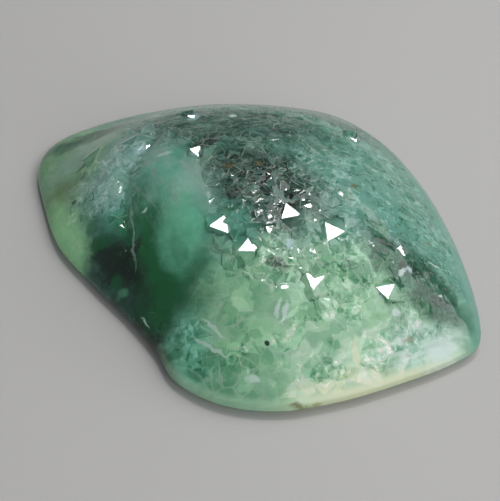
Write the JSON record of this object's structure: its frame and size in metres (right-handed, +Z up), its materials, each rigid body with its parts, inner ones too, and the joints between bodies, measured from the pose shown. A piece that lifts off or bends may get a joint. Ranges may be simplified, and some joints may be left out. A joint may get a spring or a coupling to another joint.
{
  "type": "gem silica druzy",
  "caption": "Freeform polished green stone with a flat base, a domed top crusted with low quartz crystals, a smooth hump and glassy nodules.",
  "frame": {"origin": "centre of the outline, on the flat base the stone rests on", "axes": "+X along the stone from its blunt end to its sharp end, +Z up through the domed top"},
  "size_m": [0.0294, 0.0231, 0.0061],
  "materials": {
    "gem_silica": "polished"
  },
  "bodies": {
    "root": {"druzy_stone": "gem_silica"}
  },
  "joints": []
}
